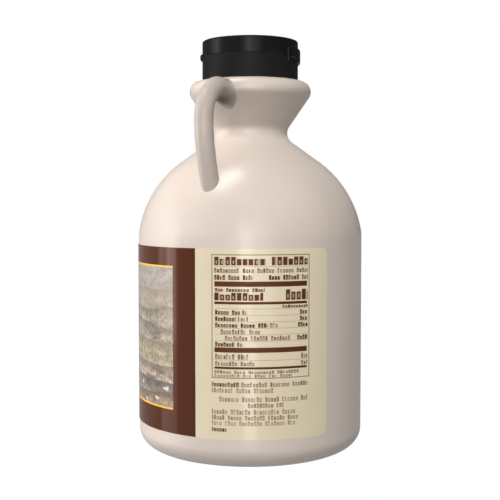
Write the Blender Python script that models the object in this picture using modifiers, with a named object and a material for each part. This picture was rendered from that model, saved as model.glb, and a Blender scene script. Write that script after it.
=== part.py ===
"""Maple syrup jug, one quart: a blow-moulded jug with a loop handle, a wrap label and a flip-top cap.

Metres, +Z up. The origin is the middle of the underside. The label's front faces -Y and the handle is at +X.
"""

import math

import bmesh
import bpy

# Jug body, a turned shape: radii and heights of its profile
BODY_RADIUS = 0.0510
FOOT_RADIUS = 0.0298
PUSH_UP = 0.0024
BASE_CORNER_WIDTH = 0.0113
BASE_CORNER_HEIGHT = 0.0094
DOME_RADIUS = 0.0485
DOME_REACH = 0.0030
DOME_HEIGHT = 0.0912
WAIST_RADIUS = 0.0150
WAIST_HEIGHT = 0.1423
WAIST_ROUNDING = 0.0052
COLLAR_RADIUS = 0.0336
COLLAR_HEIGHT = 0.1694
COLLAR_ROUNDING = 0.0046
COLLAR_TOP = 0.1666
NECK_RADIUS = 0.0175
NECK_TOP = 0.1752
NECK_CHAMFER = 0.0008
BODY_SIDES = 72

# Loop handle: its centreline from inside the collar to inside the shoulder, as (reach from the axis, height, radius)
HANDLE_RADIUS = 0.00405
HANDLE_ROUTE = (
    (0.0212, 0.1596, 0.00590),
    (0.0268, 0.1601, 0.00560),
    (0.0303, 0.1611, 0.00460),
    (0.0345, 0.1616, 0.00412),
    (0.0425, 0.1576, HANDLE_RADIUS),
    (0.0463, 0.1508, HANDLE_RADIUS),
    (0.0466, 0.1423, HANDLE_RADIUS),
    (0.0453, 0.1341, HANDLE_RADIUS),
    (0.0419, 0.1225, HANDLE_RADIUS),
    (0.0392, 0.1140, HANDLE_RADIUS),
)

# Wrap label, centred on the front
LABEL_BOTTOM = 0.0139
LABEL_TOP = 0.0932
LABEL_HALF_SPAN = math.radians(153.4)
LABEL_CORNER = 0.0030
LABEL_THICKNESS = 0.0003
LABEL_SIDES = 62
CORNER_SIDES = 5

# Flip-top cap: a base that sits over the neck, and a lid with a thumb pad and a hinge lug on its rim
CAP_RADIUS = 0.0218
CAP_BOTTOM = 0.1669
CAP_SEAM = 0.17775
CAP_TOP = 0.1852
CAP_EDGE = 0.0007
CAP_PLATE = 0.0018
CAP_SIDES = 64
PAD_HALF_WIDTH = 0.0159
PAD_TONGUE_HALF_WIDTH = 0.0066
PAD_TOP = 0.1813
PAD_BOTTOM = 0.1745
PAD_NOTCH_DEPTH = 0.0020
PAD_PROUD = 0.00105
PAD_ROUNDING = 0.0015
LUG_HALF_WIDTH = 0.0040
LUG_BOTTOM = 0.1763
LUG_TOP = 0.1791
LUG_PROUD = 0.0010
LUG_ROUNDING = 0.0006
CAP_TURN = math.radians(24)

# Clearance between pieces that touch
GAP = 0.0003


def clear_scene():
    """Remove every object of the startup scene."""
    for obj in list(bpy.data.objects):
        bpy.data.objects.remove(obj, do_unlink=True)


def new_collection(name):
    """A collection linked to the scene."""
    made = bpy.data.collections.new(name)
    bpy.context.scene.collection.children.link(made)
    return made


def plastic(name, colour, roughness):
    """A Principled material of one colour."""
    made = bpy.data.materials.new(name)
    made.use_nodes = True
    shader = made.node_tree.nodes["Principled BSDF"]
    shader.inputs["Base Color"].default_value = (*colour, 1.0)
    shader.inputs["Roughness"].default_value = roughness
    shader.inputs["Metallic"].default_value = 0.0
    made.diffuse_color = (*colour, 1.0)
    return made


def add_object(name, data, collection, material=None):
    """An object for the mesh or curve, linked to the collection."""
    made = bpy.data.objects.new(name, data)
    collection.objects.link(made)
    if material:
        data.materials.append(material)
    return made


def hide(obj):
    """Mark a helper that only shapes another object."""
    obj.hide_render = True
    obj.display_type = "WIRE"


def arc(centre, radius, start, end, count):
    """Points on an arc of the (reach, height) plane, from one angle to another."""
    step = (end - start) / count
    angles = [start + step * i for i in range(count + 1)]
    return [(centre[0] + radius * math.cos(a), centre[1] + radius * math.sin(a)) for a in angles]


def rounded(before, corner, after, radius, count):
    """The arc that rounds a corner between two straight runs."""
    toward = [(p[0] - corner[0], p[1] - corner[1]) for p in (before, after)]
    unit = [(x / math.hypot(x, y), y / math.hypot(x, y)) for x, y in toward]
    half = math.acos(unit[0][0] * unit[1][0] + unit[0][1] * unit[1][1]) / 2
    middle = (unit[0][0] + unit[1][0], unit[0][1] + unit[1][1])
    reach = radius / math.sin(half) / math.hypot(*middle)
    centre = (corner[0] + middle[0] * reach, corner[1] + middle[1] * reach)
    ends = [(corner[0] + u[0] * radius / math.tan(half), corner[1] + u[1] * radius / math.tan(half)) for u in unit]
    start, end = (math.atan2(p[1] - centre[1], p[0] - centre[0]) for p in ends)
    turn = (end - start + math.pi) % (2 * math.pi) - math.pi
    return arc(centre, radius, start, start + turn, count)


def push_up_profile(count=5):
    """The underside's shallow dome, from the axis to the foot."""
    radius = (FOOT_RADIUS**2 + PUSH_UP**2) / (2 * PUSH_UP)
    spread = math.asin(FOOT_RADIUS / radius)
    return arc((0.0, PUSH_UP - radius), radius, math.pi / 2, math.pi / 2 - spread, count)


def base_corner_profile(count=8):
    """A quarter ellipse from the foot's outer edge to the wall."""
    points = []
    for i in range(count + 1):
        angle = math.pi / 2 * i / count
        reach = BODY_RADIUS - BASE_CORNER_WIDTH * (1 - math.sin(angle))
        points.append((reach, BASE_CORNER_HEIGHT * (1 - math.cos(angle))))
    return points


def dome_profile(count=12):
    """An arc from the top of the wall, where it leaves a faint crease, to the line that runs down into the waist."""
    start = math.acos((BODY_RADIUS - DOME_REACH) / DOME_RADIUS)
    across, up = WAIST_RADIUS - DOME_REACH, WAIST_HEIGHT - DOME_HEIGHT
    end = math.atan2(up, across) - math.acos(DOME_RADIUS / math.hypot(across, up))
    return arc((DOME_REACH, DOME_HEIGHT), DOME_RADIUS, start, end, count)


def jug_profile():
    """The jug's outer line from the axis under the base, up the wall, the dome, the waist, the collar and the neck."""
    waist = (WAIST_RADIUS, WAIST_HEIGHT)
    collar = (COLLAR_RADIUS, COLLAR_HEIGHT)
    collar_top = (CAP_RADIUS, COLLAR_TOP)
    dome = dome_profile()
    points = push_up_profile() + base_corner_profile() + dome
    points += rounded(dome[-1], waist, collar, WAIST_ROUNDING, 6)
    lip = rounded(waist, collar, collar_top, COLLAR_ROUNDING, 9)
    points += [p for p in lip if p[0] > CAP_RADIUS]
    points += [
        collar_top,
        (NECK_RADIUS, COLLAR_TOP),
        (NECK_RADIUS, NECK_TOP - NECK_CHAMFER),
        (NECK_RADIUS - NECK_CHAMFER, NECK_TOP),
        (0.0, NECK_TOP),
    ]
    return points


def turned(name, points, sides, collection, material=None):
    """A solid of revolution about Z. The points run up the outer side, from the axis or round a closed ring."""
    mesh = bpy.data.meshes.new(name)
    down = [(reach, 0.0, height) for reach, height in reversed(points)]
    edges = [(i, i + 1) for i in range(len(down) - 1)]
    if min(p[0] for p in down) > 0:
        edges.append((len(down) - 1, 0))
    mesh.from_pydata(down, edges, [])
    made = add_object(name, mesh, collection, material)
    screw = made.modifiers.new("Turn", "SCREW")
    screw.angle = 2 * math.pi
    screw.steps = screw.render_steps = sides
    screw.use_merge_vertices = True
    screw.merge_threshold = 0.00001
    screw.use_smooth_shade = True
    return made


def as_mesh(obj, collection):
    """A mesh object of the curve's evaluated shape, with its caps welded on. The curve is removed."""
    bpy.context.view_layer.update()
    graph = bpy.context.evaluated_depsgraph_get()
    mesh = bpy.data.meshes.new_from_object(obj.evaluated_get(graph))
    welded = bmesh.new()
    welded.from_mesh(mesh)
    bmesh.ops.remove_doubles(welded, verts=welded.verts, dist=0.00001)
    welded.to_mesh(mesh)
    welded.free()
    made = add_object(obj.name + "_solid", mesh, collection)
    made.matrix_world = obj.matrix_world.copy()
    bpy.data.objects.remove(obj, do_unlink=True)
    return made


def handle_tube(collection):
    """The loop handle as a tube that flares where it leaves the collar."""
    curve = bpy.data.curves.new("handle", "CURVE")
    curve.dimensions = "3D"
    curve.bevel_depth = 1.0
    curve.bevel_resolution = 5
    curve.use_fill_caps = True
    curve.resolution_u = 4
    spline = curve.splines.new("BEZIER")
    spline.bezier_points.add(len(HANDLE_ROUTE) - 1)
    for point, (reach, height, radius) in zip(spline.bezier_points, HANDLE_ROUTE):
        point.co = (reach, 0.0, height)
        point.radius = radius
        point.handle_left_type = point.handle_right_type = "AUTO"
    return as_mesh(add_object("handle", curve, collection), collection)


def combine(obj, other, operation):
    """Add a Boolean of the other object."""
    boolean = obj.modifiers.new(operation.title(), "BOOLEAN")
    boolean.operation = operation
    boolean.solver = "EXACT"
    boolean.object = other
    hide(other)


def make_jug(parts, helpers, material):
    """The jug and its handle, moulded in one piece."""
    jug = turned("jug", jug_profile(), BODY_SIDES, parts, material)
    combine(jug, handle_tube(helpers), "UNION")
    return jug


def label_columns():
    """(angle from the front, inset of the upper and lower edge) across the label, with its corners rounded."""
    corner_angle = LABEL_CORNER / BODY_RADIUS
    end = []
    for i in range(CORNER_SIDES + 1):
        turn = math.pi / 2 * i / CORNER_SIDES
        end.append((corner_angle * (1 - math.cos(turn)), LABEL_CORNER * (1 - math.sin(turn))))
    flat = LABEL_HALF_SPAN - corner_angle
    middle = [(-flat + 2 * flat * i / LABEL_SIDES, 0.0) for i in range(1, LABEL_SIDES)]
    left = [(-LABEL_HALF_SPAN + along, inset) for along, inset in end]
    right = [(LABEL_HALF_SPAN - along, inset) for along, inset in reversed(end)]
    return left + middle + right


def make_label(parts, material):
    """The wrap label: a sheet round the body, given its thickness outwards."""
    reach = BODY_RADIUS + GAP
    points, faces = [], []
    for angle, inset in label_columns():
        across = (reach * math.sin(angle), -reach * math.cos(angle))
        points.append((*across, LABEL_BOTTOM + inset))
        points.append((*across, LABEL_TOP - inset))
    for i in range(0, len(points) - 2, 2):
        faces.append((i, i + 2, i + 3, i + 1))
    mesh = bpy.data.meshes.new("label")
    mesh.from_pydata(points, [], faces)
    label = add_object("label", mesh, parts, material)
    shell = label.modifiers.new("Thickness", "SOLIDIFY")
    shell.thickness = LABEL_THICKNESS
    shell.offset = 1.0
    return label


def make_cap_base(parts, material):
    """The cap's lower part: a cup, open below, that fits over the neck."""
    bore = NECK_RADIUS + GAP
    roof = CAP_SEAM - CAP_PLATE
    points = [
        (bore, CAP_BOTTOM),
        (CAP_RADIUS - GAP, CAP_BOTTOM),
        (CAP_RADIUS, CAP_BOTTOM + GAP),
        (CAP_RADIUS, CAP_SEAM - GAP / 2),
        (0.0, CAP_SEAM - GAP / 2),
        (0.0, roof),
        (bore, roof),
    ]
    ring = points[5:] + points[:5]
    base = turned("cap_base", ring, CAP_SIDES, parts, material)
    return base


def prism(name, outline, collection, depth):
    """A flat outline in the (X, Z) plane, given a depth along Y from the plane outwards to -Y."""
    curve = bpy.data.curves.new(name, "CURVE")
    curve.dimensions = "2D"
    curve.fill_mode = "BOTH"
    curve.extrude = depth / 2
    spline = curve.splines.new("POLY")
    spline.points.add(len(outline) - 1)
    for point, (across, up) in zip(spline.points, outline):
        point.co = (across, up, 0.0, 1.0)
    spline.use_cyclic_u = True
    flat = add_object(name, curve, collection)
    flat.rotation_euler = (math.pi / 2, 0.0, 0.0)
    flat.location = (0.0, -depth / 2, 0.0)
    return as_mesh(flat, collection)


def pad_outline(count=8):
    """The thumb pad seen from outside: a tongue in the middle, and an arched notch between it and each side."""
    arch = PAD_HALF_WIDTH - PAD_TONGUE_HALF_WIDTH
    notch = []
    for i in range(count + 1):
        share = i / count
        height = PAD_BOTTOM + PAD_NOTCH_DEPTH * math.sin(math.pi * share)
        notch.append((PAD_TONGUE_HALF_WIDTH + arch * share, height))
    lower = [(-across, height) for across, height in reversed(notch)] + notch
    inner, side_top = PAD_HALF_WIDTH - PAD_ROUNDING, PAD_TOP - PAD_ROUNDING
    return lower + [(PAD_HALF_WIDTH, side_top), (inner, PAD_TOP), (-inner, PAD_TOP), (-PAD_HALF_WIDTH, side_top)]


def lug_outline():
    """The hinge lug seen from outside: a rectangle with cut corners."""
    inner = LUG_HALF_WIDTH - LUG_ROUNDING
    low, high = LUG_BOTTOM, LUG_TOP
    return [
        (-inner, low),
        (inner, low),
        (LUG_HALF_WIDTH, low + LUG_ROUNDING),
        (LUG_HALF_WIDTH, high - LUG_ROUNDING),
        (inner, high),
        (-inner, high),
        (-LUG_HALF_WIDTH, high - LUG_ROUNDING),
        (-LUG_HALF_WIDTH, low + LUG_ROUNDING),
    ]


def rim_piece(name, outline, proud, turn, helpers):
    """A raised piece that follows the cap's rim: a ring cut to the outline. Below the seam it clears the base."""
    inner = CAP_RADIUS + GAP
    outer = CAP_RADIUS + proud
    low = min(p[1] for p in outline) - GAP
    high = max(p[1] for p in outline) + GAP
    bite = CAP_RADIUS - GAP
    seam = CAP_SEAM + GAP / 2
    points = [(inner, low), (outer, low), (outer, high), (bite, high), (bite, seam), (inner, seam)]
    ring = turned(name + "_ring", points, CAP_SIDES, helpers)
    cutter = prism(name + "_outline", outline, helpers, 2 * CAP_RADIUS)
    combine(ring, cutter, "INTERSECT")
    ring.rotation_euler = (0.0, 0.0, turn)
    cutter.matrix_world = ring.matrix_basis @ cutter.matrix_world
    return ring


def make_cap_lid(parts, helpers, material):
    """The cap's flip lid, with the thumb pad and the hinge lug on opposite sides of its rim."""
    low = CAP_SEAM + GAP / 2
    points = [
        (0.0, low),
        (CAP_RADIUS, low),
        (CAP_RADIUS, CAP_TOP - CAP_EDGE),
        (CAP_RADIUS - 0.3 * CAP_EDGE, CAP_TOP - 0.3 * CAP_EDGE),
        (CAP_RADIUS - CAP_EDGE, CAP_TOP),
        (0.0, CAP_TOP),
    ]
    lid = turned("cap_lid", points, CAP_SIDES, parts, material)
    pad = rim_piece("pad", pad_outline(), PAD_PROUD, CAP_TURN + math.pi, helpers)
    lug = rim_piece("lug", lug_outline(), LUG_PROUD, CAP_TURN, helpers)
    combine(lid, pad, "UNION")
    combine(lid, lug, "UNION")
    return lid


def main():
    """Build the four pieces."""
    clear_scene()
    parts = new_collection("maple_syrup_jug")
    helpers = new_collection("helpers")
    beige = plastic("jug_plastic", (0.72, 0.62, 0.53), 0.38)
    print_paper = plastic("label_print", (0.78, 0.70, 0.50), 0.45)
    black = plastic("cap_plastic", (0.012, 0.012, 0.012), 0.35)
    make_jug(parts, helpers, beige)
    make_label(parts, print_paper)
    make_cap_base(parts, black)
    make_cap_lid(parts, helpers, black)


main()
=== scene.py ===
import math

import bpy
import numpy as np
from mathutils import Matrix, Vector


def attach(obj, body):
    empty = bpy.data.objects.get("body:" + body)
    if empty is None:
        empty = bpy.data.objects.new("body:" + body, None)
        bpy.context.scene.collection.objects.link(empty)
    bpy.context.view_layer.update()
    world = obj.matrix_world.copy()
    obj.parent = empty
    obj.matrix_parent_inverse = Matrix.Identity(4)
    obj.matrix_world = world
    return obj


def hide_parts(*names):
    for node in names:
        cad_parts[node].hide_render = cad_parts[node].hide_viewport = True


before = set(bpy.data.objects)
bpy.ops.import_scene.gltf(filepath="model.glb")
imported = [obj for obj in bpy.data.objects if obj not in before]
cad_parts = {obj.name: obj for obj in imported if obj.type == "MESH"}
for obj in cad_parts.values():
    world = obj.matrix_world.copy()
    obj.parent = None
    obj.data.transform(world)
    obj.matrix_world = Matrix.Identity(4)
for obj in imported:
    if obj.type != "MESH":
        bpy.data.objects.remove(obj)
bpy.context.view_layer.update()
print("frame loaded:", ", ".join(sorted(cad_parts)))

mm = 0.001
poleRadius = 0.1 * mm  # turned profiles stop this near the axis, and a fan closes them
sharpAngle = math.radians(38)  # faces that meet at more than this keep a crisp edge

# Where the camera stood: its angle round from the handle, its distance and height, how far it looks down, a
# small step aside, its lens and film width, and how near it can see
view = {
    "angle": 24.3,
    "distance": 456.4 * mm,
    "height": 114.5 * mm,
    "tilt": 3.07,
    "aside": 0.09 * mm,
    "lens": 71.29,
    "sensor": 36.0,
    "nearest": 10 * mm,
}


def putMesh(name, points, faces):
    # faces is a list of arrays of corner numbers, with one face in each row
    mesh = bpy.data.meshes.new(name)
    corners = np.concatenate([f.ravel() for f in faces])
    sizes = np.concatenate([np.full(len(f), f.shape[1]) for f in faces])
    mesh.vertices.add(len(points))
    mesh.vertices.foreach_set("co", np.asarray(points, np.float32).ravel())
    mesh.loops.add(len(corners))
    mesh.loops.foreach_set("vertex_index", corners.astype(np.int32))
    mesh.polygons.add(len(sizes))
    mesh.polygons.foreach_set("loop_start", (np.cumsum(sizes) - sizes).astype(np.int32))
    mesh.polygons.foreach_set("use_smooth", np.ones(len(sizes), bool))
    mesh.update(calc_edges=True)
    mesh.validate()
    mesh.set_sharp_from_angle(angle=sharpAngle)
    piece = bpy.data.objects.new(name, mesh)
    bpy.context.scene.collection.objects.link(piece)
    return piece


def gridQuads(rows, cols, wrap):
    # corner numbers of every cell of a grid of points; where it wraps, the last column meets the first
    r = np.arange(rows - 1)[:, None]
    c = np.arange(cols if wrap else cols - 1)[None, :]
    d = (c + 1) % cols
    return np.stack([r * cols + c, r * cols + d, (r + 1) * cols + d, (r + 1) * cols + c], -1).reshape(-1, 4)


def putTube(name, grid):
    # a grid that wraps, closed at both ends by a fan to the middle of its end ring
    rows, cols = grid.shape[:2]
    ends = np.stack([grid[0].mean(0), grid[-1].mean(0)])
    points = np.concatenate([grid.reshape(-1, 3), ends])
    c = np.arange(cols)
    d = (c + 1) % cols
    last = (rows - 1) * cols
    low = np.stack([np.full(cols, rows * cols), d, c], -1)
    high = np.stack([last + c, last + d, np.full(cols, rows * cols + 1)], -1)
    return putMesh(name, points, [gridQuads(rows, cols, True), np.concatenate([low, high])])


def turn(profile, count):
    # P(t, a) = (r(t) cos a, r(t) sin a, h(t)): the profile carried round Z
    angle = np.linspace(0, 2 * np.pi, count, endpoint=False)
    reach, height = profile[:, 0][:, None], profile[:, 1][:, None]
    return np.stack([reach * np.cos(angle), reach * np.sin(angle), height + 0 * angle], -1)


def arc(centre, radius, start, end, count):
    # C + r (cos t, sin t), with t from start to end
    t = np.linspace(start, end, count)
    return np.stack([centre[0] + radius * np.cos(t), centre[1] + radius * np.sin(t)], -1)


def line(start, end, count):
    # A + t (B - A), without its two ends
    t = np.linspace(0, 1, count + 2)[1:-1, None]
    return np.asarray(start) + t * (np.asarray(end) - np.asarray(start))


def fillet(before, corner, after, radius, count):
    # the arc that touches both runs: its centre is on the bisector, r / sin(half angle) from the corner
    before, corner, after = map(np.asarray, (before, corner, after))
    u = (before - corner) / np.linalg.norm(before - corner)
    v = (after - corner) / np.linalg.norm(after - corner)
    half = np.arccos(np.clip(u @ v, -1, 1)) / 2
    centre = corner + (u + v) / np.linalg.norm(u + v) * radius / np.sin(half)
    ends = [corner + w * radius / np.tan(half) - centre for w in (u, v)]
    start, end = (np.arctan2(p[1], p[0]) for p in ends)
    return arc(centre, radius, start, start + (end - start + np.pi) % (2 * np.pi) - np.pi, count)


class Signal:
    # one socket's value; a sum, difference or product on it adds a Math node to its tree
    def __init__(self, tree, socket):
        self.tree, self.socket = tree, socket

    def maths(self, operation, *others):
        return addNode(self.tree, "Math", {"operation": operation}, dict(enumerate((self, *others))))[0]

    def __add__(self, other):
        return self.maths("ADD", other)

    def __sub__(self, other):
        return self.maths("SUBTRACT", other)

    def __rsub__(self, other):
        return addNode(self.tree, "Math", {"operation": "SUBTRACT"}, {0: other, 1: self})[0]

    def __mul__(self, other):
        return self.maths("MULTIPLY", other)

    def __abs__(self):
        return self.maths("ABSOLUTE")

    def over(self, other):
        return self.maths("GREATER_THAN", other)

    def fade(self, low, high):
        # 0 below low, 1 above high, and smooth between them
        sockets = {"Value": self, "From Min": low, "From Max": high, "To Min": 0.0, "To Max": 1.0}
        return addNode(self.tree, "MapRange", {"interpolation_type": "SMOOTHSTEP"}, sockets)[0]

    __radd__ = __add__
    __rmul__ = __mul__


def addNode(tree, kind, settings=None, sockets=None):
    # settings are set first, because they change which sockets there are; a socket takes a value or a link
    node = tree.nodes.new("ShaderNode" + kind)
    for key, value in (settings or {}).items():
        setattr(node, key, value)
    for key, value in (sockets or {}).items():
        if isinstance(value, Signal):
            tree.links.new(value.socket, node.inputs[key])
        elif isinstance(value, tuple) and node.inputs[key].type == "RGBA":
            node.inputs[key].default_value = (*value[:3], 1.0)
        else:
            node.inputs[key].default_value = value
    return [Signal(tree, socket) for socket in node.outputs if socket.enabled]


def mix(tree, share, first, second):
    # colours mixed by a share
    return addNode(tree, "Mix", {"data_type": "RGBA"}, {0: share, 6: first, 7: second})[0]


def noise(tree, place, scale, detail=2.0, roughness=0.5, stretch=None):
    # grey noise at a scale for each metre, stretched if asked
    if stretch:
        place = addNode(tree, "Mapping", {}, {"Vector": place, "Scale": stretch})[0]
    sockets = {"Vector": place, "Scale": scale, "Detail": detail, "Roughness": roughness}
    return addNode(tree, "TexNoise", {"noise_dimensions": "3D"}, sockets)[0]


def bump(tree, height, strength, distance):
    # a height in share of the distance, as a tilt of the surface
    return addNode(tree, "Bump", {}, {"Height": height, "Strength": strength, "Distance": distance})[0]


def newMaterial(name):
    made = bpy.data.materials.new(name)
    made.use_nodes = True
    made.node_tree.nodes.clear()
    tree = made.node_tree
    place = addNode(tree, "TexCoord")[3]
    return made, tree, place


def plastic(tree, colour, roughness, normal, gloss, tint=(1.0, 1.0, 1.0)):
    sockets = {"Base Color": colour, "Roughness": roughness, "Normal": normal}
    sockets.update({"Specular IOR Level": gloss, "Specular Tint": tint})
    return addNode(tree, "BsdfPrincipled", {}, sockets)[0]


def finishMaterial(tree, shader):
    addNode(tree, "OutputMaterial", {}, {"Surface": shader})


jugShape = {
    "bodyRadius": 51.0 * mm,
    "footRadius": 29.8 * mm,
    "pushUp": 2.4 * mm,
    "cornerWidth": 11.3 * mm,
    "cornerHeight": 9.4 * mm,
    "domeCentre": (3.0 * mm, 91.2 * mm),
    "domeRadius": 48.5 * mm,
    "waist": (15.0 * mm, 142.3 * mm),
    "waistRounding": 5.2 * mm,
    "collar": (33.6 * mm, 169.4 * mm),
    "collarRounding": 4.6 * mm,
    "collarTop": 166.6 * mm,
    "capRadius": 21.8 * mm,
    "neckRadius": 17.5 * mm,
    "neckTop": 175.2 * mm,
    "neckEdge": 0.8 * mm,
    "sides": 256,
    # points in each run of the profile, and the share of the underside that the closing fan takes
    "steps": {
        "under": 14,
        "foot": 4,
        "corner": 26,
        "wall": 36,
        "dome": 60,
        "cone": 12,
        "waist": 26,
        "funnel": 14,
        "lip": 44,
    },
    "fanShare": 0.02,
}


def jugProfile(s):
    # underside arc, quarter-ellipse corner, wall, dome arc, its tangent to the waist, funnel, rolled collar
    # and neck, each a row of points (reach, height)
    n = s["steps"]
    radius = (s["footRadius"] ** 2 + s["pushUp"] ** 2) / (2 * s["pushUp"])
    spread = math.asin(s["footRadius"] / radius)
    start, end = (np.pi / 2 - share * spread for share in (s["fanShare"], 1))
    under = arc((0, s["pushUp"] - radius), radius, start, end, n["under"])
    t = np.linspace(0, np.pi / 2, n["corner"])
    cornerReach = s["bodyRadius"] - s["cornerWidth"] * (1 - np.sin(t))
    corner = np.stack([cornerReach, s["cornerHeight"] * (1 - np.cos(t))], -1)
    start = math.acos((s["bodyRadius"] - s["domeCentre"][0]) / s["domeRadius"])
    across = s["waist"][0] - s["domeCentre"][0]
    up = s["waist"][1] - s["domeCentre"][1]
    end = math.atan2(up, across) - math.acos(s["domeRadius"] / math.hypot(across, up))
    dome = arc(s["domeCentre"], s["domeRadius"], start, end, n["dome"])
    waist = fillet(dome[-1], s["waist"], s["collar"], s["waistRounding"], n["waist"])
    collarTop = (s["capRadius"], s["collarTop"])
    lip = fillet(s["waist"], s["collar"], collarTop, s["collarRounding"], n["lip"])
    lip = lip[lip[:, 0] > s["capRadius"]]
    neck = [
        (s["neckRadius"], s["collarTop"]),
        (s["neckRadius"], s["neckTop"] - s["neckEdge"]),
        (s["neckRadius"] - s["neckEdge"], s["neckTop"]),
        (poleRadius, s["neckTop"]),
    ]
    foot = line(under[-1], corner[0], n["foot"])
    wall = line(corner[-1], dome[0], n["wall"])
    cone = line(dome[-1], waist[0], n["cone"])
    funnel = line(waist[-1], lip[0], n["funnel"])
    return np.concatenate([under, foot, corner, wall, dome, cone, waist, funnel, lip, [collarTop], neck])


# The handle's centreline, as reach, height, half width and half thickness in millimetres
handleShape = {
    "route": (
        (19.0, 159.5, 5.0, 7.1),
        (23.5, 159.7, 5.0, 6.6),
        (27.5, 160.2, 4.9, 5.8),
        (30.5, 161.1, 4.4, 4.8),
        (33.5, 161.7, 4.1, 4.2),
        (37.0, 161.0, 4.05, 4.05),
        (41.4, 158.3, 4.05, 4.05),
        (44.9, 154.5, 4.05, 4.05),
        (46.6, 149.4, 4.05, 4.05),
        (46.7, 142.6, 4.05, 4.05),
        (45.5, 134.9, 4.05, 4.05),
        (43.4, 127.0, 4.05, 4.05),
        (41.0, 119.4, 4.05, 4.05),
        (38.6, 112.4, 4.05, 4.05),
    ),
    "rings": 190,
    "sides": 64,
    "window": 17,
}


def smoothRoute(route, count, window):
    # Catmull-Rom: each span is a cubic through its two points, with slopes from their neighbours; then a
    # running mean, weighted by a raised cosine
    p = np.asarray(route, float) * mm
    p = np.concatenate([2 * p[:1] - p[1:2], p, 2 * p[-1:] - p[-2:-1]])
    t = np.linspace(0, len(route) - 1, count)
    k = np.minimum(t.astype(int), len(route) - 2)
    f = (t - k)[:, None]
    a, b, c, d = p[k], p[k + 1], p[k + 2], p[k + 3]
    curve = 0.5 * (2 * b + (c - a) * f + (2 * a - 5 * b + 4 * c - d) * f**2 + (3 * b - a - 3 * c + d) * f**3)
    half = window // 2
    kernel = np.hanning(window) / np.hanning(window).sum()
    padded = np.concatenate([np.repeat(curve[:1], half, 0), curve, np.repeat(curve[-1:], half, 0)])
    smooth = np.stack([np.convolve(padded[:, i], kernel, "valid") for i in range(4)], -1)
    return smooth[half // 2 : -(half // 2)]


def sweepHandle(s):
    # P(t, a) = C(t) + n(t) v(t) cos a + Y w(t) sin a: an ellipse carried along the centreline C, where n is
    # the centreline's normal in the handle's plane
    route = smoothRoute(s["route"], s["rings"], s["window"])
    along = np.gradient(route[:, :2], axis=0)
    along /= np.linalg.norm(along, axis=1)[:, None]
    a = np.linspace(0, 2 * np.pi, s["sides"], endpoint=False)
    out = route[:, 3][:, None] * np.cos(a)
    x = route[:, 0][:, None] - along[:, 1][:, None] * out
    z = route[:, 1][:, None] + along[:, 0][:, None] * out
    y = route[:, 2][:, None] * np.sin(a)
    return np.stack([x, y, z], -1)


# The two mixes of beige, the handle's painted darker than the body's as shade over the whole handle: the
# light tone, the cloudy tone, the roughness and the gloss
beiges = {
    "bodyPlastic": ((0.588, 0.508, 0.446), (0.572, 0.493, 0.432), 0.215, 0.38),
    # painted shade: the handle is the body's plastic with its tones darkened
    "handleShadedPlastic": ((0.484, 0.417, 0.366), (0.470, 0.404, 0.354), 0.26, 0.24),
}

# Painted shade: the tight corner where the handle meets the collar, and the funnel's middle, are painted
# darker in the plastic's colour
creaseShade = {"place": (30.9 * mm, 0.0, 155.8 * mm), "reach": 9.0 * mm, "depth": 0.75}
funnelShade = {"low": (143.0 * mm, 148.0 * mm), "high": (159.0 * mm, 164.0 * mm), "depth": 0.08}

# How the beige plastic is finished: each noise's scale for each metre, detail and roughness, then how it is
# spread and how strongly it shows, and last the relief's strength and depth
jugFinish = {
    "cloud": (26.0, 3.0),
    "cloudFade": (0.3, 0.7),
    "cloudRough": 0.03,
    "speck": (900.0, 2.0),
    "speckFade": (0.62, 0.8),
    "speckShare": 0.06,
    "speckTone": 0.75,
    "grain": (1500.0, 3.0, 0.6),
    "grainRough": 0.03,
    "grainHeight": 0.04,
    "wave": (60.0, 1.0),
    "waveHeight": 0.1,
    "relief": (0.25, 0.12 * mm),
}


def jugPlastic(name, light, dark, spread, gloss):
    # glossy beige plastic: faint cloudiness, a very fine moulded grain and slow waves from the blow mould,
    # with painted shade in the corner where the handle meets the collar and in a band round the funnel
    s = jugFinish
    made, tree, place = newMaterial(name)
    cloud = noise(tree, place, *s["cloud"])
    speck = noise(tree, place, *s["speck"])
    colour = mix(tree, cloud.fade(*s["cloudFade"]), dark, light)
    speckColour = tuple(v * s["speckTone"] for v in dark)
    colour = mix(tree, speck.fade(*s["speckFade"]) * s["speckShare"], colour, speckColour)
    # painted shade: the colour darkens near the handle's corner at the collar and in a band round the funnel
    away = addNode(tree, "VectorMath", {"operation": "DISTANCE"}, {0: place, 1: creaseShade["place"]})[0]
    up = addNode(tree, "SeparateXYZ", {}, {"Vector": place})[2]
    under = up.fade(*funnelShade["low"]) * (1 - up.fade(*funnelShade["high"])) * funnelShade["depth"]
    shade = (1 - (1 - away.fade(0.0, creaseShade["reach"])) * creaseShade["depth"]) * (1 - under)
    colour = mix(tree, 1 - shade, colour, (0.0, 0.0, 0.0))
    grain = noise(tree, place, *s["grain"])
    wave = noise(tree, place, *s["wave"])
    roughness = spread + cloud * s["cloudRough"] + grain * s["grainRough"]
    relief = bump(tree, grain * s["grainHeight"] + wave * s["waveHeight"], *s["relief"])
    finishMaterial(tree, plastic(tree, colour, roughness, relief, gloss))
    return made


jug = putTube("jugBody", turn(jugProfile(jugShape), jugShape["sides"]))
handle = putTube("handleLoop", sweepHandle(handleShape)[:, ::-1])
for piece, (name, look) in zip((jug, handle), beiges.items()):
    piece.data.materials.append(jugPlastic(name, *look))
    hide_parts("jug")
    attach(piece, "root")
# the dome's shine isn't broken by a mirrored handle
handle.visible_glossy = False
print("jug and handle made")


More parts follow.
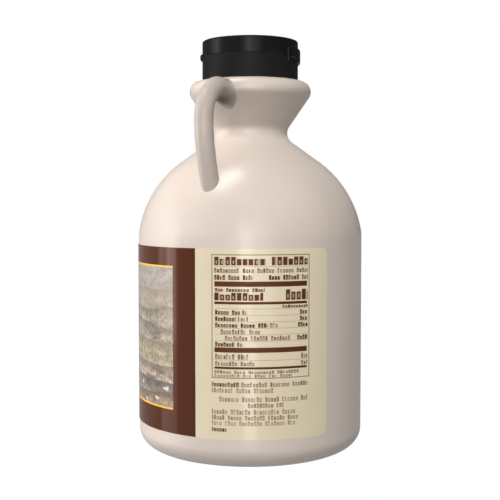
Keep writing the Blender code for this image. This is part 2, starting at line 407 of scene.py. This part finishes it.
# Angles and arc lengths run from the middle of the front, round towards the handle
labelShape = {
    "inner": 51.04 * mm,
    "outer": 51.32 * mm,
    "bottom": 13.9 * mm,
    "top": 93.2 * mm,
    "halfSpan": math.radians(153.4),
    "corner": 3.0 * mm,
    "seam": math.radians(87.8),
    "windowSpan": math.radians(74.6),
    "windowBottom": 24.0 * mm,
    "windowTop": 85.4 * mm,
    "goldWidth": 0.75 * mm,
    "sky": ((0.26, 0.225, 0.19), (0.40, 0.365, 0.33)),
    # each ridge: height and rise in millimetres, waves for each metre, and its dark and its pale tone
    "ridges": (
        (75.0, 9.0, 45.0, (0.27, 0.23, 0.18), (0.43, 0.375, 0.31)),
        (68.0, 14.0, 34.0, (0.19, 0.165, 0.13), (0.45, 0.395, 0.31)),
        (61.0, 14.0, 26.0, (0.15, 0.135, 0.105), (0.45, 0.395, 0.31)),
        (54.0, 12.0, 30.0, (0.20, 0.165, 0.115), (0.48, 0.415, 0.29)),
        (43.0, 10.0, 22.0, (0.16, 0.12, 0.10), (0.56, 0.47, 0.38)),
        (36.5, 8.0, 30.0, (0.12, 0.10, 0.09), (0.38, 0.30, 0.24)),
        (30.5, 7.0, 36.0, (0.14, 0.10, 0.075), (0.46, 0.345, 0.255)),
    ),
    # columns in each corner and past the print, a column's width in millimetres before it, and the unit of
    # the print's map
    "cornerSteps": 14,
    "farSteps": 10,
    "frontStep": 1.1,
    "mapUnit": 100 * mm,
}

# The printed table on the side panel: millimetres from the panel's seam, and heights above the base
printShape = {
    "cell": 0.30,
    "left": 7.5,
    "right": 49.5,
    "textLeft": 8.6,
    "textRight": 48.4,
    "frame": (39.5, 90.9),
    "frameLine": 0.36,
    "bars": ((77.6, 79.75), (70.3, 71.4), (50.3, 52.4), (43.4, 44.35)),
    "rules": (85.85, 68.4, 65.6, 62.95, 60.3, 57.65, 55.0, 47.0),
    "ruleLine": 0.2,
    "frameInk": 0.8,
    "ruleInk": 0.5,
    # each row of blocks: its four bands as shares of its height, a stroke's width as a share of it, how many
    # blocks stand together, and how often a block is tall, has a dark middle or is open at its end
    "bands": (0, 0.18, 0.57, 0.76, 1),
    "stroke": 0.17,
    "together": (3, 10),
    "tallShare": 0.28,
    "darkShare": 0.3,
    "openShare": 0.2,
    # the ink of a pale middle and of a gap, in a strong row and in a fainter one
    "strongInk": 0.9,
    "strongTones": (0.5, 0.3),
    "faintTones": (0.15, 0.05),
    "seed": 7,
}

# The rows of plain blocks: bottom, top, start, end, share of ink
printRows = (
    (86.45, 89.9, 8.6, 48.4, 1.0),
    (83.35, 85.2, 8.6, 48.4, 0.9),
    (80.4, 82.4, 8.6, 24.4, 1.0),
    (80.4, 82.4, 31.5, 48.4, 1.0),
    (75.5, 77.0, 8.9, 29.5, 1.0),
    (71.9, 75.1, 8.6, 29.0, 1.0),
    (72.0, 76.4, 38.6, 48.5, 1.0),
    (68.8, 70.0, 37.2, 48.4, 1.0),
    (66.0, 67.9, 9.0, 19.4, 1.0),
    (66.0, 67.9, 20.2, 22.6, 0.8),
    (66.0, 67.9, 45.0, 48.4, 1.0),
    (63.35, 65.2, 9.0, 17.6, 1.0),
    (63.35, 65.2, 18.4, 22.6, 0.8),
    (63.35, 65.2, 45.0, 48.4, 1.0),
    (60.7, 62.55, 9.0, 30.8, 1.0),
    (60.7, 62.55, 31.8, 35.4, 0.8),
    (60.7, 62.55, 44.0, 48.4, 1.0),
    (58.0, 59.9, 11.4, 28.2, 0.85),
    (55.35, 57.25, 13.2, 40.5, 0.8),
    (55.35, 57.25, 43.6, 48.4, 1.0),
    (52.75, 54.6, 9.0, 17.2, 1.0),
    (52.75, 54.6, 18.2, 20.6, 0.8),
    (47.5, 49.6, 9.0, 23.0, 0.85),
    (47.5, 49.6, 45.6, 48.4, 0.8),
    (44.75, 46.6, 9.0, 25.4, 0.8),
    (44.75, 46.6, 45.6, 48.4, 0.8),
    (41.5, 42.8, 8.6, 44.2, 0.85),
    (40.05, 41.25, 8.6, 41.2, 0.75),
    (36.0, 37.9, 7.5, 19.2, 1.0),
    (36.0, 37.9, 20.0, 48.4, 0.8),
    (33.5, 35.5, 7.5, 33.6, 0.65),
    (29.8, 31.9, 10.6, 48.4, 0.7),
    (27.4, 29.2, 22.6, 37.6, 0.75),
    (24.5, 26.6, 7.5, 43.2, 0.65),
    (22.15, 24.1, 7.5, 44.4, 0.7),
    (19.8, 21.75, 7.5, 43.2, 0.6),
    (17.2, 19.0, 7.5, 13.6, 1.0),
)


def blockInk(starts, row, rng):
    # how much ink each cell of a row holds in its four bands (foot, middle, head, top): groups of plain
    # boxes of two heights and two widths, some filled and some with a paler middle
    s = printShape
    low, high, left, right, share = row
    stroke = max(1, round((high - low) * s["stroke"] / s["cell"]))
    inside = (starts >= left - 0.01) & (starts < right - 0.05)
    along = np.cumsum(inside) - 1
    block, within = along // (4 * stroke), along % (4 * stroke) // stroke
    blocks = int(block.max()) + 2
    ends = np.cumsum(rng.integers(*s["together"], blocks) + 1) - 1
    spaces = np.isin(np.arange(blocks), ends[ends < blocks - 3])
    first = np.isin(np.arange(blocks), np.concatenate([[0], ends + 1]))
    tall = first | (rng.random(blocks) < s["tallShare"])
    pale, gap = s["strongTones"] if share > s["strongInk"] else s["faintTones"]
    middle = np.where(rng.random(blocks) < s["darkShare"], 1.0, pale)[block]
    last = np.where(rng.random(blocks) < s["openShare"], pale, 1.0)[block]
    closed = np.select([within < 2, within == 2], [1.0, last], gap)
    hollow = np.select([within == 0, within == 1, within == 2], [1.0, middle, last], gap)
    ink = np.stack([closed, hollow, closed, closed * tall[block]])
    return ink * (inside & ~spaces[block]) * share


def bandHeights(row):
    # the heights between a row's four bands
    low, high = row[:2]
    return [low + share * (high - low) for share in printShape["bands"]]


def printLines():
    # every height at which the print changes
    heights = [labelShape["bottom"] / mm, labelShape["top"] / mm]
    for low, high in printShape["bars"]:
        heights += [low, high]
    for low in printShape["rules"]:
        heights += [low, low + printShape["ruleLine"]]
    low, high = printShape["frame"]
    heights += [low, low + printShape["frameLine"], high - printShape["frameLine"], high]
    for row in printRows:
        heights += bandHeights(row)
    heights = np.unique(np.round(heights, 3))
    return heights[np.concatenate([[True], np.diff(heights) > 0.02])]


def inkOf(arcs, heights):
    # share of ink of every cell, rows by columns: the frame, the bars, the rules and the rows of blocks
    s = printShape
    rng = np.random.default_rng(s["seed"])
    x = (arcs[:-1] + arcs[1:])[None, :] / 2
    y = (heights[:-1] + heights[1:])[:, None] / 2
    ink = np.zeros((len(heights) - 1, len(arcs) - 1))
    inText = (x > s["textLeft"]) & (x < s["textRight"])
    for low, high in s["bars"]:
        ink = np.maximum(ink, inText & (y > low) & (y < high))
    for low in s["rules"]:
        ink = np.maximum(ink, s["ruleInk"] * (inText & (y > low) & (y < low + s["ruleLine"])))
    low, high = s["frame"]
    inFrame = (x > s["left"]) & (x < s["right"]) & (y > low) & (y < high)
    t = s["frameLine"]
    inside = (x > s["left"] + t) & (x < s["right"] - t) & (y > low + t) & (y < high - t)
    ink = np.maximum(ink, s["frameInk"] * (inFrame & ~inside))
    starts = arcs[:-1]
    for row in printRows:
        edges = bandHeights(row)
        for across, low, high in zip(blockInk(starts, row, rng), edges[:-1], edges[1:]):
            ink = np.maximum(ink, across * ((y > low) & (y < high)))
    return ink


def makeLabel(s):
    # P(a, h) = (r sin a, -r cos a, h) on a grid whose lines follow the print, closed behind by long strips;
    # its corners are rounded by drawing both edges in by c (1 - sqrt(1 - (1 - d/c)^2)), where d is the
    # distance from the nearer end and c the corner's radius
    radius = s["outer"] / mm
    seam, span, c = s["seam"] * radius, s["halfSpan"] * radius, s["corner"] / mm
    start, end, cell = printShape["left"], printShape["right"], printShape["cell"]
    fine = np.arange(start, end + 0.5 * cell, cell)
    frameEdges = [start + printShape["frameLine"], end - printShape["frameLine"]]
    panel = np.unique(np.round(np.concatenate([fine, frameEdges]), 3))
    ends = c * (1 - np.cos(np.linspace(0, np.pi / 2, s["cornerSteps"])))
    middle = np.arange(-span + c, seam + start, s["frontStep"])[1:]
    middle = middle[middle < seam + start - 0.2]
    rest = np.linspace(seam + end, span - c, s["farSteps"])[1:-1]
    arcs = np.concatenate([-span + ends, middle, seam + panel, rest, (span - ends)[::-1]])
    heights = printLines()
    edge = np.clip(np.minimum(arcs + span, span - arcs) / c, 0, 1)
    inset = c * (1 - np.sqrt(np.clip(1 - (1 - edge) ** 2, 0, 1)))
    share = (heights - heights[0]) / (heights[-1] - heights[0])
    up = heights[0] + inset + share[:, None] * (heights[-1] - heights[0] - 2 * inset)
    angle = np.broadcast_to(arcs / radius, up.shape)

    def at(reach):
        return np.stack([reach * np.sin(angle), -reach * np.cos(angle), up * mm], -1)

    rows, cols = up.shape
    number = np.arange(rows * cols).reshape(rows, cols)
    front = gridQuads(rows, cols, False)
    rim = np.concatenate([number[0, :-1], number[:-1, -1], number[-1, :0:-1], number[:0:-1, 0]])
    back = np.arange(len(rim)) + rows * cols
    nextRim, nextBack = np.roll(rim, -1), np.roll(back, -1)
    sides = np.stack([rim, back, nextBack, nextRim], -1)
    low, right = back[: cols - 1], back[cols - 1 : cols + rows - 2]
    high, left = back[cols + rows - 2 : 2 * cols + rows - 3], back[2 * cols + rows - 3 :]
    lowAll = np.concatenate([low, right[:1]])
    highAll = np.concatenate([high, left[:1]])[::-1]
    strips = np.stack([lowAll[1:-2], highAll[1:-2], highAll[2:-1], lowAll[2:-1]], -1)
    first = np.concatenate([lowAll[[1, 0]], left[::-1][: rows - 2], highAll[[0, 1]]])[None]
    final = np.concatenate([highAll[[-2, -1]], right[1:][::-1], lowAll[[-1, -2]]])[None]
    outer, inner = at(s["outer"]), at(s["inner"]).reshape(-1, 3)
    points = np.concatenate([outer.reshape(-1, 3), inner[rim]])
    piece = putMesh("labelWrap", points, [front, sides, strips, first, final])
    mesh = piece.data
    ink = np.zeros(len(mesh.polygons), np.float32)
    ink[: len(front)] = inkOf(arcs - seam, heights).ravel()
    mesh.attributes.new("ink", "FLOAT", "FACE").data.foreach_set("value", ink)
    # the print's own map: arc length from the front and height, in the map's unit
    flat = np.stack([np.broadcast_to(arcs, up.shape), up], -1).reshape(-1, 2) * mm / s["mapUnit"]
    flat = np.concatenate([flat, flat[rim]])
    corners = np.zeros(len(mesh.loops), np.int32)
    mesh.loops.foreach_get("vertex_index", corners)
    mesh.uv_layers.new(name="print").data.foreach_set("uv", flat[corners].astype(np.float32).ravel())
    return piece


# The film's colours, the picture's noises and how they are used, and the film's own finish; noises are given
# as the jug's are, some with a stretch, and each ridge has a scale of its own
filmFinish = {
    "cream": (0.680, 0.587, 0.418),
    "deepCream": (0.660, 0.568, 0.402),
    "brown": (0.0715, 0.0212, 0.0098),
    "gold": (0.83, 0.47, 0.045),
    "driftWhite": (0.60, 0.57, 0.55),
    "seamBlur": 0.05 * mm,
    "ragged": (260.0, 4.0, 0.7),
    "raggedDepth": 0.9 * mm,
    "fleck": (620.0, 5.0, 0.8),
    "patch": (150.0, 3.0, 0.6, (1.0, 1.0, 1.8)),
    "fleckShare": 0.6,
    "toneFade": (0.38, 0.62),
    "crest": (3.0, 0.5, (1.0, 1.0, 0.04)),
    "crestBlur": 0.3 * mm,
    "crestTone": 0.25,
    "mistDepth": 6 * mm,
    "driftFleck": 0.25,
    "driftFade": (0.58, 0.605),
    "driftTop": 34 * mm,
    "cloud": (40.0, 2.0),
    "cloudFade": (0.3, 0.7),
    "grain": (1100.0, 3.0, 0.6),
    "grainHeight": 0.04,
    "grainRough": 0.03,
    "crinkle": (45.0, 2.0),
    "relief": (0.2, 0.1 * mm),
    "rough": 0.11,
    "inkRough": 0.3,
    # gloss and its tint
    "brownShine": (0.35, (1.0, 0.66, 0.55)),
    "creamShine": (0.46, (1.0, 0.95, 0.9)),
}


def hillPicture(tree, place, up):
    # a pale sky and ridges of misty hills, mottled, the nearer ones browner, with pale drifts at the foot
    s, f = labelShape, filmFinish
    fleck = noise(tree, place, *f["fleck"])
    patch = noise(tree, place, *f["patch"])
    tone = (fleck * f["fleckShare"] + patch * (1 - f["fleckShare"])).fade(*f["toneFade"])
    picture = mix(tree, tone, *s["sky"])
    for ridge, rise, waves, dark, pale in s["ridges"]:
        # how far a point lies below the ridge's wavy crest; the crest is dark and fades into mist below
        crest = (ridge + 0.5 * rise) * mm - noise(tree, place, waves, *f["crest"]) * (rise * mm)
        below = crest - up
        mist = f["crestTone"] + (1 - f["crestTone"]) * below.fade(0.0, f["mistDepth"])
        hill = mix(tree, tone * mist, dark, pale)
        picture = mix(tree, below.fade(-f["crestBlur"], f["crestBlur"]), picture, hill)
    drift = (patch * (1 - f["driftFleck"]) + fleck * f["driftFleck"]).fade(*f["driftFade"])
    return mix(tree, drift * (1 - up.over(f["driftTop"])), picture, f["driftWhite"])


def labelFilm():
    # printed film: a brown front with a gold-lined picture of misty hills, cream side panels and brown print
    s, f = labelShape, filmFinish
    made, tree, place = newMaterial("labelFilm")
    flat = addNode(tree, "UVMap", {"uv_map": "print"})[0]
    part = addNode(tree, "SeparateXYZ", {}, {"Vector": flat})
    arcs, up = abs(part[0]) * s["mapUnit"], part[1] * s["mapUnit"]
    seam, edge = s["seam"] * s["outer"], s["windowSpan"] * s["outer"]
    side = arcs.fade(seam - f["seamBlur"], seam + f["seamBlur"])

    ragged = noise(tree, place, *f["ragged"]) * f["raggedDepth"] - f["raggedDepth"] / 2
    inside = 1 - (arcs + ragged).over(edge)
    inside = inside * up.over(s["windowBottom"]) * (1 - up.over(s["windowTop"]))
    gold = up.over(s["windowTop"] - s["goldWidth"]) + (1 - up.over(s["windowBottom"] + s["goldWidth"]))
    picture = mix(tree, gold.maths("MINIMUM", 1.0), hillPicture(tree, place, up), f["gold"])
    front = mix(tree, inside, f["brown"], picture)

    ink = addNode(tree, "Attribute", {"attribute_name": "ink", "attribute_type": "GEOMETRY"})[2]
    paper = mix(tree, noise(tree, place, *f["cloud"]).fade(*f["cloudFade"]), f["deepCream"], f["cream"])
    grain = noise(tree, place, *f["grain"])
    relief = bump(tree, grain * f["grainHeight"] + noise(tree, place, *f["crinkle"]), *f["relief"])
    # the shine of brown film and brown ink is warmer than the cream film's, and the ink is duller than both
    roughness = f["rough"] + grain * f["grainRough"]
    dark = mix(tree, side, front, f["brown"])
    dark = plastic(tree, dark, roughness + side * f["inkRough"], relief, *f["brownShine"])
    pale = plastic(tree, paper, roughness, relief, *f["creamShine"])
    finishMaterial(tree, addNode(tree, "MixShader", {}, {0: side * (1 - ink), 1: dark, 2: pale})[0])
    return made


label = makeLabel(labelShape)
label.data.materials.append(labelFilm())
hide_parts("label")
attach(label, "root")
print("label made:", len(label.data.polygons), "faces")


capShape = {
    "radius": 21.8 * mm,
    "bottom": 166.9 * mm,
    "seam": 177.75 * mm,
    "top": 185.2 * mm,
    "bore": 17.8 * mm,
    "roof": 175.95 * mm,
    "edge": 0.8 * mm,
    "seamEdge": 0.10 * mm,
    "crown": 0.25 * mm,
    "footEdge": 0.3 * mm,
    "halfGap": 0.02 * mm,
    "plateGap": 0.05 * mm,
    "turn": math.radians(24.0),
    "sides": 240,
}

padShape = {
    "halfWidth": 15.9 * mm,
    "tongue": 6.6 * mm,
    "top": 181.3 * mm,
    "bottom": 174.5 * mm,
    "notch": 2.0 * mm,
    "corner": 1.5 * mm,
    "proud": 1.05 * mm,
    "edge": 0.95 * mm,
    "grid": (150, 44),
}

lugShape = {
    "halfWidth": 4.0 * mm,
    "bottom": 176.3 * mm,
    "top": 179.1 * mm,
    "proud": 1.0 * mm,
    "corner": 0.8 * mm,
    "edge": 1.0 * mm,
    "grid": (150, 44),
}


def capBaseProfile(s):
    # a cup open below, as points (reach, height): roof, bore, rounded foot, outer wall, seam edge and top
    low, high, r, e = s["bottom"], s["seam"] - s["halfGap"], s["radius"], s["footEdge"]
    foot = arc((r - e, low + e), e, -np.pi / 2, 0, 8)
    shoulder = arc((r - s["seamEdge"], high - s["seamEdge"]), s["seamEdge"], 0, np.pi / 2, 8)
    inner = [(poleRadius, s["roof"]), (s["bore"], s["roof"]), (s["bore"], low)]
    wall = line(foot[-1], shoulder[0], 12)
    top = line(shoulder[-1], (poleRadius, high), 6)
    return np.concatenate([inner, foot, wall, shoulder, top, [(poleRadius, high)]])


def capLidProfile(s):
    # a disc with a small seam edge below, a rounded rim above and a top crowned by c (1 - (x/R)^2)
    low, r, e = s["seam"] + s["halfGap"], s["radius"], s["edge"]
    seam = arc((r - s["seamEdge"], low + s["seamEdge"]), s["seamEdge"], -np.pi / 2, 0, 8)
    rim = arc((r - e, s["top"] - s["crown"] - e), e, 0, np.pi / 2, 14)
    wall = line(seam[-1], rim[0], 10)
    reach = np.linspace(r - e, poleRadius, 16)[1:]
    crown = np.stack([reach, s["top"] - s["crown"] * (reach / (r - e)) ** 2], -1)
    base = line((poleRadius, low), seam[0], 4)
    return np.concatenate([[(poleRadius, low)], base, seam, wall, rim, crown])


def padEdges(across, s):
    # lower and upper edge at a distance from the pad's middle: a flat tongue between two notches in the form
    # of half a sine wave, and quarter-round top corners
    share = np.clip((np.abs(across) - s["tongue"]) / (s["halfWidth"] - s["tongue"]), 0, 1)
    low = s["bottom"] + s["notch"] * np.sin(np.pi * share)
    past = np.clip((np.abs(across) - s["halfWidth"] + s["corner"]) / s["corner"], 0, 1)
    return low, s["top"] - s["corner"] * (1 - np.sqrt(1 - past**2))


def lugEdges(across, s):
    # lower and upper edge of a small block with four quarter-round corners
    past = np.clip((np.abs(across) - s["halfWidth"] + s["corner"]) / s["corner"], 0, 1)
    drop = s["corner"] * (1 - np.sqrt(1 - past**2))
    return s["bottom"] + drop, s["top"] - drop


def raisedPlate(name, s, edges, middle, cap):
    # P(u, v) = ((R + g) cos a, (R + g) sin a, h) inside the plate's own outline, where the height g over the
    # cap falls in a quarter round near its edge; the back is the same outline, just clear of the cap
    cols, rows = s["grid"]
    u = np.sin(np.linspace(-np.pi / 2, np.pi / 2, cols))
    v = (1 - np.cos(np.linspace(0, np.pi, rows))) / 2
    across = np.broadcast_to(u * s["halfWidth"], (rows, cols))
    low, high = edges(across, s)
    up = low + v[:, None] * (high - low)
    side = s["halfWidth"] - np.abs(across)
    near = np.clip(np.minimum(np.minimum(up - low, high - up), side) / s["edge"], 0, 1)
    drop = s["edge"] * (1 - np.sqrt(np.clip(1 - (1 - near) ** 2, 0, 1)))

    def at(reach):
        angle = middle + across / cap["radius"]
        return np.stack([reach * np.cos(angle), reach * np.sin(angle), up], -1).reshape(-1, 3)

    number = np.arange(rows * cols).reshape(rows, cols)
    rim = np.concatenate([number[0, :-1], number[:-1, -1], number[-1, :0:-1], number[:0:-1, 0]])
    front = gridQuads(rows, cols, False)
    back = front[:, ::-1] + rows * cols
    sides = np.stack([rim, rim + rows * cols, np.roll(rim, -1) + rows * cols, np.roll(rim, -1)], -1)
    outer = at(cap["radius"] + s["proud"] - drop)
    inner = at(cap["radius"] + cap["plateGap"])
    return putMesh(name, np.concatenate([outer, inner]), [front, back, sides])


# The cap's two blacks: colour, roughness, strength of the relief and gloss
blacks = {
    "capBaseBlack": ((0.0100, 0.0100, 0.0101), 0.42, 0.35, 0.075),
    "capLidBlack": ((0.0081, 0.0081, 0.0082), 0.22, 0.12, 0.115),
}

# How the black plastic is finished: noises given as the jug's are, with a stretch, and a duller top face
capFinish = {
    "grain": (2200.0, 3.0, 0.6),
    "grainRough": 0.08,
    "cloud": (90.0, 3.0),
    "cloudFade": (0.3, 0.7),
    "cloudTone": 1.25,
    "scuff": (700.0, 4.0, 0.7, (1.0, 1.0, 0.25)),
    "scuffFade": (0.66, 0.78),
    "scuffRough": 0.12,
    "topFade": (184.5 * mm, 185.0 * mm),
    "topRough": 0.35,
    "reliefDepth": 0.08 * mm,
}


def capPlastic(name, base, spread, strength, gloss):
    # black plastic: a base level of roughness, fine texture, a few light scuffs and a duller top face
    s = capFinish
    made, tree, place = newMaterial(name)
    grain = noise(tree, place, *s["grain"])
    cloud = noise(tree, place, *s["cloud"]).fade(*s["cloudFade"])
    scuff = noise(tree, place, *s["scuff"]).fade(*s["scuffFade"])
    colour = mix(tree, cloud, base, tuple(v * s["cloudTone"] for v in base))
    top = addNode(tree, "SeparateXYZ", {}, {"Vector": place})[2].fade(*s["topFade"])
    roughness = spread + grain * s["grainRough"] + scuff * s["scuffRough"] + top * s["topRough"]
    relief = bump(tree, grain, strength, s["reliefDepth"])
    finishMaterial(tree, plastic(tree, colour, roughness, relief, gloss))
    return made


baseBlack, lidBlack = (capPlastic(name, *look) for name, look in blacks.items())
capBase = putTube("capBase", turn(capBaseProfile(capShape), capShape["sides"]))
capLid = putTube("capLid", turn(capLidProfile(capShape), capShape["sides"]))
padMiddle = capShape["turn"] + np.pi / 2
pad = raisedPlate("thumbPad", padShape, padEdges, padMiddle, capShape)
lug = raisedPlate("hingeLug", lugShape, lugEdges, padMiddle + np.pi, capShape)
for piece, material, node in (
    (capBase, baseBlack, "cap_base"),
    (capLid, lidBlack, "cap_lid"),
    (pad, lidBlack, "cap_lid"),
    (lug, baseBlack, "cap_lid"),
):
    piece.data.materials.append(material)
    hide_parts(node)
    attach(piece, "root")
print("cap made")


# Each light: degrees round from the camera, degrees up, width and height in degrees, power to matt surfaces,
# power to gloss, and whether it casts shadows
lights = {
    "frontTop": (-4, 55, 12, 12, 11.4, 0.0, False),
    "front": (-4, 5, 12, 12, 3.05, 0.0, True),
    "frontRight": (14, 40, 14, 14, 1.1, 0.0, True),
    "nearLeft": (-22, -5, 14, 14, 2.75, 0.0, True),
    "left": (-48, 10, 18, 18, 2.8, 0.0, True),
    "leftSoft": (-90, 8, 14, 14, 0.8, 0.0, False),
    "leftLow": (-110, 0, 18, 18, 8.4, 0.0, False),
    "leftHigh": (-110, 24, 18, 18, 10.9, 0.0, False),
    "rightHigh": (70, 40, 22, 22, 2.25, 0.0, False),
    "backRight": (150, 25, 26, 26, 9.2, 0.0, True),
    "back": (180, 25, 26, 26, 8.0, 0.0, True),
    "backLeft": (-150, 25, 26, 26, 5.0, 0.0, True),
    "frontPanel": (-4, 9, 14, 34, 0.0, 4.2, True),
    "frontSide": (13, 8, 18, 34, 0.0, 2.2, True),
    "frontFoot": (0, -14, 12, 10, 0.0, 0.7, True),
    "leftPanel": (-84, 6, 12, 32, 0.0, 2.3, True),
    "leftWide": (-95, 6, 16, 32, 0.0, 1.3, True),
    "leftFoot": (-88, -14, 20, 10, 0.0, 0.4, True),
    "upperLeft": (-67, 69, 14, 27, 0.0, 3.0, False),
    "upperFront": (-53, 67, 12, 20, 0.0, 1.6, False),
    "overheadLeft": (-45, 80, 20, 14, 0.0, 0.5, True),
    "overhead": (-88, 73, 12, 24, 0.0, 1.8, False),
}

# How far off the lights stand and the height they aim at, and the even light from above, from below and of
# the floor itself
studio = {"reach": 1.3, "aim": 0.1, "above": 0.06, "below": 0.36, "floor": 1.0}

# The floor: half its width, how far under the jug it lies, and the soft shade round the foot
floorShape = {"halfWidth": 6.0, "under": 0.2 * mm, "shadeStart": 0.05, "shadeEnd": 0.11, "shade": 0.12}


def around(angle, up, distance):
    # a point at a distance from the lights' aim, turned round from the camera's direction and raised
    a, e = math.radians(view["angle"] + angle), math.radians(up)
    direction = Vector((math.cos(a) * math.cos(e), math.sin(a) * math.cos(e), math.sin(e)))
    return direction * distance + Vector((0, 0, studio["aim"]))


def addLight(name, angle, up, width, height, matt, gloss, shadow):
    # a square-on panel that seems as wide and high, seen from the jug, as its two angles say
    reach = studio["reach"]
    for power, forGloss in ((matt, False), (gloss, True)):
        if not power:
            continue
        data = bpy.data.lights.new(name, "AREA")
        data.shape, data.energy = "RECTANGLE", power
        data.size, data.size_y = (2 * reach * math.tan(math.radians(v / 2)) for v in (width, height))
        data.use_shadow = shadow
        lamp = bpy.data.objects.new(name, data)
        bpy.context.scene.collection.objects.link(lamp)
        lamp.location = around(angle, up, reach)
        inward = Vector((0, 0, studio["aim"])) - lamp.location
        lamp.rotation_euler = inward.to_track_quat("-Z", "Y").to_euler()
        lamp.visible_camera, lamp.visible_diffuse, lamp.visible_glossy = False, not forGloss, forGloss


def addWorld():
    # a white backdrop for the camera; the jug gets an even light from above and another from below
    world = bpy.data.worlds.new("studio")
    bpy.context.scene.world = world
    world.use_nodes = True
    tree = world.node_tree
    tree.nodes.clear()
    seen = addNode(tree, "LightPath")[0]
    above = addNode(tree, "SeparateXYZ", {}, {"Vector": addNode(tree, "TexCoord")[0]})[2].over(0.0)
    glow = above * (studio["above"] - studio["below"]) + studio["below"]
    strength = seen + (1 - seen) * glow
    back = addNode(tree, "Background", {}, {"Color": (1.0, 1.0, 1.0), "Strength": strength})[0]
    addNode(tree, "OutputWorld", {}, {"Surface": back})


def addFloor():
    # a wide white sheet just under the jug, lit evenly, with a soft shade near the foot alone
    s = floorShape
    w, z = s["halfWidth"], -s["under"]
    corners = np.array([(-w, -w, z), (w, -w, z), (w, w, z), (-w, w, z)])
    floor = putMesh("floor", corners, [np.array([[0, 1, 2, 3]])])
    made, tree, place = newMaterial("floorPaper")
    grain = bump(tree, noise(tree, place, 300.0), 0.02, 0.2 * mm)
    away = addNode(tree, "VectorMath", {"operation": "LENGTH"}, {0: place})[0]
    paper = addNode(tree, "BsdfDiffuse", {}, {"Color": (0.9, 0.9, 0.9), "Normal": grain})[0]
    glow = addNode(tree, "Emission", {}, {"Color": (1.0, 1.0, 1.0), "Strength": studio["floor"]})[0]
    share = 1 - (1 - away.fade(s["shadeStart"], s["shadeEnd"])) * s["shade"]
    finishMaterial(tree, addNode(tree, "MixShader", {}, {0: share, 1: paper, 2: glow})[0])
    floor.data.materials.append(made)
    floor.visible_diffuse = floor.visible_glossy = floor.visible_shadow = False


def addCamera():
    data = bpy.data.cameras.new("camera")
    data.lens, data.sensor_width, data.clip_start = view["lens"], view["sensor"], view["nearest"]
    camera = bpy.data.objects.new("camera", data)
    bpy.context.scene.collection.objects.link(camera)
    a, tilt = math.radians(view["angle"]), math.radians(view["tilt"])
    camera.location = (
        math.cos(a) * view["distance"] + math.sin(a) * view["aside"],
        math.sin(a) * view["distance"] - math.cos(a) * view["aside"],
        view["height"],
    )
    camera.rotation_euler = (math.pi / 2 - tilt, 0.0, a + math.pi / 2)
    bpy.context.scene.camera = camera


for name, values in lights.items():
    addLight(name, *values)
addWorld()
addFloor()
addCamera()
bpy.context.scene.view_settings.view_transform = "Standard"
print("stage set")
